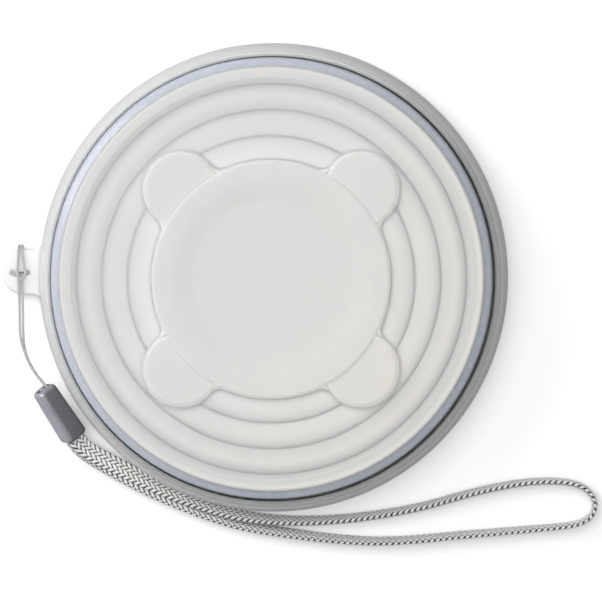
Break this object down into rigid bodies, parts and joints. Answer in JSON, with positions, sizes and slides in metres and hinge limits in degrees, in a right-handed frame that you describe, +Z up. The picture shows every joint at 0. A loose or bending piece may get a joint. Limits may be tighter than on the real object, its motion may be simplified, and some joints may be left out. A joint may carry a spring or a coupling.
{
  "type": "collapsible travel cup",
  "caption": "Silicone travel cup folded into concentric rings, mouth down in a push-on round lid with a strap tab, string, bead and braided wrist strap.",
  "frame": {"origin": "centre of the lid's flat outer face, which lies on the table", "axes": "+Z up, along the cup's axis, from the lid towards the cup's foot; the lid's strap tab points along -X; +Y completes the right-handed frame"},
  "size_m": [0.1168, 0.0982, 0.02],
  "materials": {
    "lid_plastic": "translucent milky, satin",
    "rim_plastic": "translucent, slightly blue, smooth",
    "silicone": "milky translucent, fine matt",
    "string_cord": "fine twisted thread",
    "bead_plastic": "satin",
    "strap_braid": "silvery braid"
  },
  "bodies": {
    "lid": {"lid": "lid_plastic", "string": "string_cord", "strap_bead": "bead_plastic", "strap": "strap_braid"},
    "rim": {"rim_ring": "rim_plastic", "wall_band_4": "silicone", "fold_4": "silicone"},
    "band_3": {"wall_band_3": "silicone", "fold_3": "silicone"},
    "band_2": {"wall_band_2": "silicone", "fold_2": "silicone"},
    "band_1": {"wall_band_1": "silicone", "fold_1": "silicone"},
    "base": {"base_cup": "silicone"}
  },
  "joints": [
    {"name": "lid_pull", "type": "slide", "parent": "lid", "child": "rim", "axis": [0, 0, 1], "range_m": [0, 0.022]},
    {"name": "fold_4_open", "type": "slide", "parent": "rim", "child": "band_3", "axis": [0, 0, 1], "range_m": [0, 0.015], "deforming": ["fold_4"]},
    {"name": "fold_3_open", "type": "slide", "parent": "band_3", "child": "band_2", "axis": [0, 0, 1], "range_m": [0, 0.015], "deforming": ["fold_3"]},
    {"name": "fold_2_open", "type": "slide", "parent": "band_2", "child": "band_1", "axis": [0, 0, 1], "range_m": [0, 0.015], "deforming": ["fold_2"]},
    {"name": "fold_1_open", "type": "slide", "parent": "band_1", "child": "base", "axis": [0, 0, 1], "range_m": [0, 0.015], "deforming": ["fold_1"]}
  ]
}
